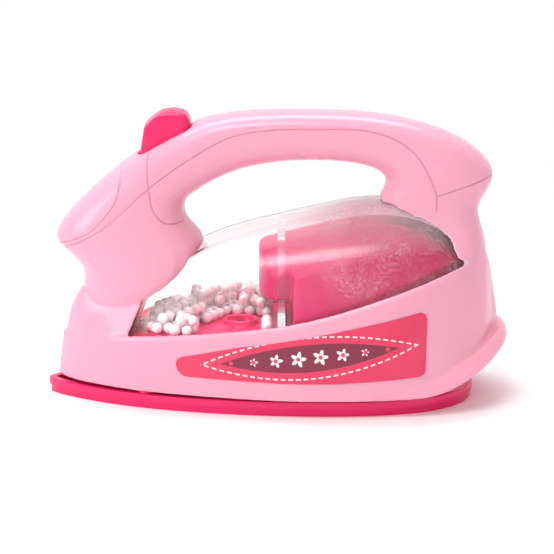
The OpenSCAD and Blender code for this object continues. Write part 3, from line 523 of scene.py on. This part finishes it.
# Grooves as seen from the side, in mm along the length and up
GRIP_LINE = [
    (-82, 59.7), (-70.5, 65.8), (-61.1, 72.9), (-49.3, 83.6), (-33, 95.1), (-17.4, 103.2), (-1.8, 105.8),
    (13.7, 106.1), (31.8, 105.8), (44.3, 102.6), (53, 96.4), (58.6, 87), (60.8, 80.6), (60.8, 75.1),
]
HEEL_LINE = [(60.8, 80.6), (70, 83.7), (82.9, 88)]
CAP_LINE = [(-84.1, 61.1), (-77, 64), (-70.5, 67.9), (-63, 76.7), (-60.6, 83), (-60.4, 89.3)]
COWL_LINE = [(-49.9, 95.9), (-49.3, 85.3), (-47.7, 76.1), (-44.3, 71.2), (-40.5, 69.8), (-36.1, 70)]
GROOVE_LOW = 55 * MM
GROOVE_HALF = 0.55 * MM
GROOVE_DEPTH = 0.35 * MM
# The mesh is cut finer once within each of these reaches of a groove
FINER_REACHES = (1.6 * MM, 0.9 * MM)
# Least sideways share of the normal where a groove is cut, and the share over which it gets its full depth
SIDE_ON = 0.12
SIDE_FADE = 0.2
# Reach from the dome, rear end and strength of the painted highlight along the window rim
RIM_REACH = 0.9 * MM
RIM_END = 73 * MM
RIM_GAIN = 1.4
SEAM_HALF = 0.05 * MM
ON_PLANE = 0.001 * MM
SEAM_WELD = 0.01 * MM


def finer(points, steps=6):
    """Smooth curve through given points, in metres."""
    out = []
    for i in range(len(points) - 1):
        a, b, c, d = (Vector(points[max(0, min(len(points) - 1, i + k))]) for k in (-1, 0, 1, 2))
        bend = 2 * a - 5 * b + 4 * c - d
        sway = 3 * (b - c) + d - a
        for k in range(steps):
            t = k / steps
            out.append((b + 0.5 * t * ((c - a) + t * (bend + t * sway))) * MM)
    out.append(Vector(points[-1]) * MM)
    return [np.array(p) for p in out]


lines = [finer(points) for points in (GRIP_LINE, HEEL_LINE, CAP_LINE, COWL_LINE)]


def groove_gaps(verts):
    """Distance in side view from each vertex on an outer face to the nearest groove line."""
    spots = np.array([(v.co.x, v.co.z) for v in verts])
    best = np.full(len(verts), 1.0)
    for line in lines:
        for a, b in zip(line, line[1:]):
            way = b - a
            t = np.clip((spots - a) @ way / (way @ way), 0, 1)
            best = np.minimum(best, np.linalg.norm(spots - a - t[:, None] * way, axis=1))
    return best


def faces_out(v):
    """True where the surface faces away from the centre plane."""
    return v.normal.y * v.co.y > 0


def outer_verts(bm):
    """Vertices of the shells' outer sides, above the skirt."""
    bm.normal_update()
    return [v for v in bm.verts if v.co.z > GROOVE_LOW and faces_out(v) and abs(v.normal.y) > SIDE_ON]


bm = welded("left_shell", "right_shell")
seam = [f for f in bm.faces if all(abs(v.co.y) < ON_PLANE for v in f.verts)]
bmesh.ops.delete(bm, geom=seam, context="FACES")
bmesh.ops.remove_doubles(bm, verts=bm.verts, dist=SEAM_WELD)
whole = moulded_copy("shell_pair", bm, SHELL_VOXEL, SHELL_RELAX, PAIR_TRIANGLES)
bm = bmesh.new()
bm.from_mesh(whole.data)
for reach in FINER_REACHES:
    skin = outer_verts(bm)
    near = {v for v, gap in zip(skin, groove_gaps(skin)) if gap < reach}
    edges = [e for e in bm.edges if e.verts[0] in near or e.verts[1] in near]
    bmesh.ops.subdivide_edges(bm, edges=edges, cuts=1, use_grid_fill=True)
# Groove depth, which sinks the skin and also sets how much painted shade it takes
groove = bm.verts.layers.float.new("groove")
skin = outer_verts(bm)
for v, gap in zip(skin, groove_gaps(skin)):
    if gap < GROOVE_HALF:
        depth = 0.5 + 0.5 * math.cos(math.pi * gap / GROOVE_HALF)
        v[groove] = depth * min(1.0, (abs(v.normal.y) - SIDE_ON) / SIDE_FADE)
sinks = [(v, v.normal * GROOVE_DEPTH * v[groove]) for v in skin if v[groove] > 0]
for v, sink in sinks:
    v.co -= sink
# Painted highlight: outer skin close to the dome is marked in the rim layer and coloured paler, for the
# light on the rounded rim.
rim = bm.verts.layers.float.new("rim")
window = BVHTree.FromPolygons([v.co for v in dome.data.vertices], [f.vertices for f in dome.data.polygons])
for v in bm.verts:
    if faces_out(v) and v.co.x < RIM_END:
        gap = window.find_nearest(v.co, RIM_REACH)[3]
        v[rim] = 0 if gap is None else min(1, RIM_GAIN * (1 - gap / RIM_REACH))
pair = bpy.data.meshes.new("shell_pair")
bm.to_mesh(pair)
bm.free()
bpy.data.objects.remove(whole)


def over(tree, base, share, colour):
    """Lay a colour over another by share. A Mix node's colours are its inputs 6 and 7 and its output 2."""
    node = tree.nodes.new("ShaderNodeMix")
    node.data_type = "RGBA"
    node.inputs[7].default_value = colour
    tree.links.new(share, node.inputs[0])
    tree.links.new(base, node.inputs[6])
    return node.outputs[2]


satin_pink = moulded_plastic("pale_pink_satin", PALE_PINK, PALE_PINK_DEEP, 0.22, 0.3, skin=0.06)
tree = satin_pink.node_tree
shader = tree.nodes["Principled BSDF"]
lets_light_in(shader, 0.5, (1, 0.5, 0.55), 4 * MM)
colour = shader.inputs["Base Color"].links[0].from_socket
# Painted shade in the grooves and a painted highlight along the window rim, laid over the plastic's colour.
for layer, painted_light in (("groove", GROOVE_PAINTED_SHADE), ("rim", RIM_HIGHLIGHT)):
    share = tree.nodes.new("ShaderNodeAttribute")
    share.attribute_name = layer
    colour = over(tree, colour, share.outputs["Fac"], painted_light)
tree.links.new(colour, shader.inputs["Base Color"])
for side, node in ((-1, "left_shell"), (1, "right_shell")):
    bm = bmesh.new()
    bm.from_mesh(pair)
    bmesh.ops.bisect_plane(
        bm, geom=bm.verts[:] + bm.edges[:] + bm.faces[:], dist=ON_PLANE,
        plane_co=(0, side * SEAM_HALF, 0), plane_no=(0, -side, 0), clear_outer=True,
    )
    open_edges = [e for e in bm.edges if e.is_boundary]
    bmesh.ops.triangle_fill(bm, use_beauty=True, edges=open_edges, normal=(0, -side, 0))
    bmesh.ops.recalc_face_normals(bm, faces=bm.faces)
    dress(shown(node + "_moulding", bm, 40), satin_pink, node)
bpy.data.meshes.remove(pair)

# Thumb button: the steam button on top of the handle, pressed against a spring.
# Hot pink moulding that slides in a slot between the shells, with a flange below that keeps it in.
BUTTON_VOXEL = 0.4 * MM
BUTTON_RELAX = 30
button = moulded_copy("thumb_button", welded("steam_button"), BUTTON_VOXEL, BUTTON_RELAX)
dress(button, hot_pink, "steam_button", "button")

# Side sticker: a printed film on the near side of the skirt.
# Pink field with a dark lens, a row of white blossoms and a stitched line, die cut with round corners.
FIELD_PINK = (0.81, 0.045, 0.13, 1)
FIELD_DEEP = (0.76, 0.035, 0.11, 1)
LENS_DARK = (0.23, 0.022, 0.05, 1)
INK_WHITE = (0.88, 0.8, 0.8, 1)
HEART_PINK = (0.8, 0.05, 0.14, 1)
PRINT_MIDDLE = (12 * MM, 0, 23.8 * MM)
PRINT_TILT = math.radians(-6)
# Half length and half height of the lens, the stitched line and the row of blossoms
LENS_HALVES = (34 * MM, 5.2 * MM)
STITCH_HALVES = (41 * MM, 7.8 * MM)
ROW_HALVES = (30 * MM, 3.1 * MM)
STITCH_HALF = 0.3 * MM
STITCH_RATE = 2200.0
STITCH_BREAK = -0.35
BLOSSOM_STEP = 8.5 * MM
PETALS = 5.0
PETAL_SWING = 0.28
HEART_RADIUS = 0.8 * MM
film, tree, shader, place = fresh_material("sticker_print")
shader.inputs["Roughness"].default_value = 0.32
turn = tree.nodes.new("ShaderNodeMapping")
turn.vector_type = "TEXTURE"
turn.inputs["Location"].default_value = PRINT_MIDDLE
turn.inputs["Rotation"].default_value = (0, PRINT_TILT, 0)
tree.links.new(place, turn.inputs["Vector"])
axes = tree.nodes.new("ShaderNodeSeparateXYZ")
tree.links.new(turn.outputs["Vector"], axes.inputs["Vector"])
along, up = axes.outputs["X"], axes.outputs["Z"]


def lens_edge(half_length, half_height):
    """Height of a lens outline over its own length."""
    share = sums(tree, "DIVIDE", along, half_length)
    left_over = sums(tree, "SUBTRACT", 1.0, sums(tree, "MULTIPLY", share, share))
    return sums(tree, "MULTIPLY", left_over, half_height)


away = sums(tree, "ABSOLUTE", up)
in_lens = sums(tree, "LESS_THAN", away, lens_edge(*LENS_HALVES))
stitch_gap = sums(tree, "ABSOLUTE", sums(tree, "SUBTRACT", away, lens_edge(*STITCH_HALVES)))
wave = sums(tree, "SINE", sums(tree, "MULTIPLY", along, STITCH_RATE))
dashes = sums(tree, "GREATER_THAN", wave, STITCH_BREAK)
on_stitch = sums(tree, "MULTIPLY", sums(tree, "LESS_THAN", stitch_gap, STITCH_HALF), dashes)
step = sums(tree, "SUBTRACT", sums(tree, "FLOORED_MODULO", along, BLOSSOM_STEP), BLOSSOM_STEP / 2)
squares = sums(tree, "ADD", sums(tree, "MULTIPLY", step, step), sums(tree, "MULTIPLY", up, up))
reach = sums(tree, "SQRT", squares)
lobes = sums(tree, "COSINE", sums(tree, "MULTIPLY", sums(tree, "ARCTAN2", up, step), PETALS))
petal = sums(tree, "ADD", 1 - PETAL_SWING, sums(tree, "MULTIPLY", lobes, PETAL_SWING))
on_petal = sums(tree, "LESS_THAN", reach, sums(tree, "MULTIPLY", lens_edge(*ROW_HALVES), petal))
on_heart = sums(tree, "LESS_THAN", reach, HEART_RADIUS)
field = ramp(tree, speckle(tree, place, scale=90, detail=4), FIELD_DEEP, FIELD_PINK)
prints = ((in_lens, LENS_DARK), (on_petal, INK_WHITE), (on_heart, HEART_PINK), (on_stitch, INK_WHITE))
for mask, ink in prints:
    field = over(tree, field, mask, ink)
tree.links.new(field, shader.inputs["Base Color"])
skin_bump(tree, speckle(tree, place, scale=700, detail=3), shader, strength=0.08, depth=0.02 * MM)
dress(shown("side_sticker", welded("side_label"), 30), film, "side_label")

# Stage: a white table under three softboxes, in a white room.
# White paper that keeps the toy's shadow and goes over into the white of the room away from it.
FLOOR_HALF = 4
PAPER = (1, 1, 1, 1)
PAPER_DEEP = (0.97, 0.97, 0.97, 1)
# In metres from the middle: the paper keeps its shading up to the first and is plain white from the second
SHADOW_END = 0.16
WHITE_FROM = 0.42
ROOM_LIGHT = 0.62
TOY_MIDDLE = Vector((0, 0, 0.05))
scene = bpy.context.scene
bm = bmesh.new()
bmesh.ops.create_grid(bm, x_segments=1, y_segments=1, size=FLOOR_HALF)
floor = shown("paper_floor", bm)
paper, tree, shader, place = fresh_material("white_paper")
tree.links.new(ramp(tree, speckle(tree, place, scale=300), PAPER_DEEP, PAPER), shader.inputs["Base Color"])
shader.inputs["Roughness"].default_value = 0.9
shader.inputs["Specular IOR Level"].default_value = 0.1


def seen_rays(tree):
    """One for rays from the camera, also by way of gloss or clear plastic."""
    path = tree.nodes.new("ShaderNodeLightPath")
    first = sums(tree, "MAXIMUM", path.outputs["Is Camera Ray"], path.outputs["Is Glossy Ray"])
    return sums(tree, "MAXIMUM", first, path.outputs["Is Transmission Ray"])


far = tree.nodes.new("ShaderNodeVectorMath")
far.operation = "LENGTH"
tree.links.new(place, far.inputs[0])
white = tree.nodes.new("ShaderNodeEmission")
whiter = stretch(tree, far.outputs["Value"], 0, 1, start=SHADOW_END, end=WHITE_FROM)
share = sums(tree, "MULTIPLY", whiter, seen_rays(tree))
mixed(tree, share, shader.outputs["BSDF"], white.outputs["Emission"], "Material Output")
floor.data.materials.append(paper)
floor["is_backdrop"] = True

world = bpy.data.worlds.new("white_room")
world.use_nodes = True
scene.world = world
tree = world.node_tree
sky = tree.nodes["Background"]
sky.inputs["Color"].default_value = (1, 1, 1, 1)
sky.inputs["Strength"].default_value = ROOM_LIGHT
seen = tree.nodes.new("ShaderNodeBackground")
seen.inputs["Color"].default_value = (1, 1, 1, 1)
seen.inputs["Strength"].default_value = 1
mixed(tree, seen_rays(tree), sky.outputs["Background"], seen.outputs["Background"], "World Output")


def aimed(name, data, at):
    """Lamp or camera at this place, turned to the middle of the toy."""
    holder = bpy.data.objects.new(name, data)
    holder.location = at
    holder.rotation_euler = (TOY_MIDDLE - holder.location).to_track_quat("-Z", "Y").to_euler()
    scene.collection.objects.link(holder)
    return holder


def softbox(name, at, width, height, watts):
    """Even rectangular lamp."""
    lamp = bpy.data.lights.new(name, "AREA")
    lamp.shape = "RECTANGLE"
    lamp.size, lamp.size_y = width, height
    lamp.energy = watts
    aimed(name, lamp, at)


softbox("overhead_box", at=(-0.1, 0.32, 1.0), width=1.0, height=0.25, watts=5.4)
softbox("front_box", at=(-0.22, -0.43, 1.15), width=0.5, height=0.2, watts=3.8)
softbox("side_box", at=(-1.0, -0.6, 0.55), width=0.6, height=0.5, watts=4.9)

scene.view_settings.view_transform = "Standard"
eye = bpy.data.cameras.new("camera")
eye.sensor_width = 36
eye.lens = 149.6
eye.shift_y = -0.0191
eye.shift_x = -0.0009
scene.camera = aimed("camera", eye, at=(0, -0.8769, 0.2525))

low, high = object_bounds()
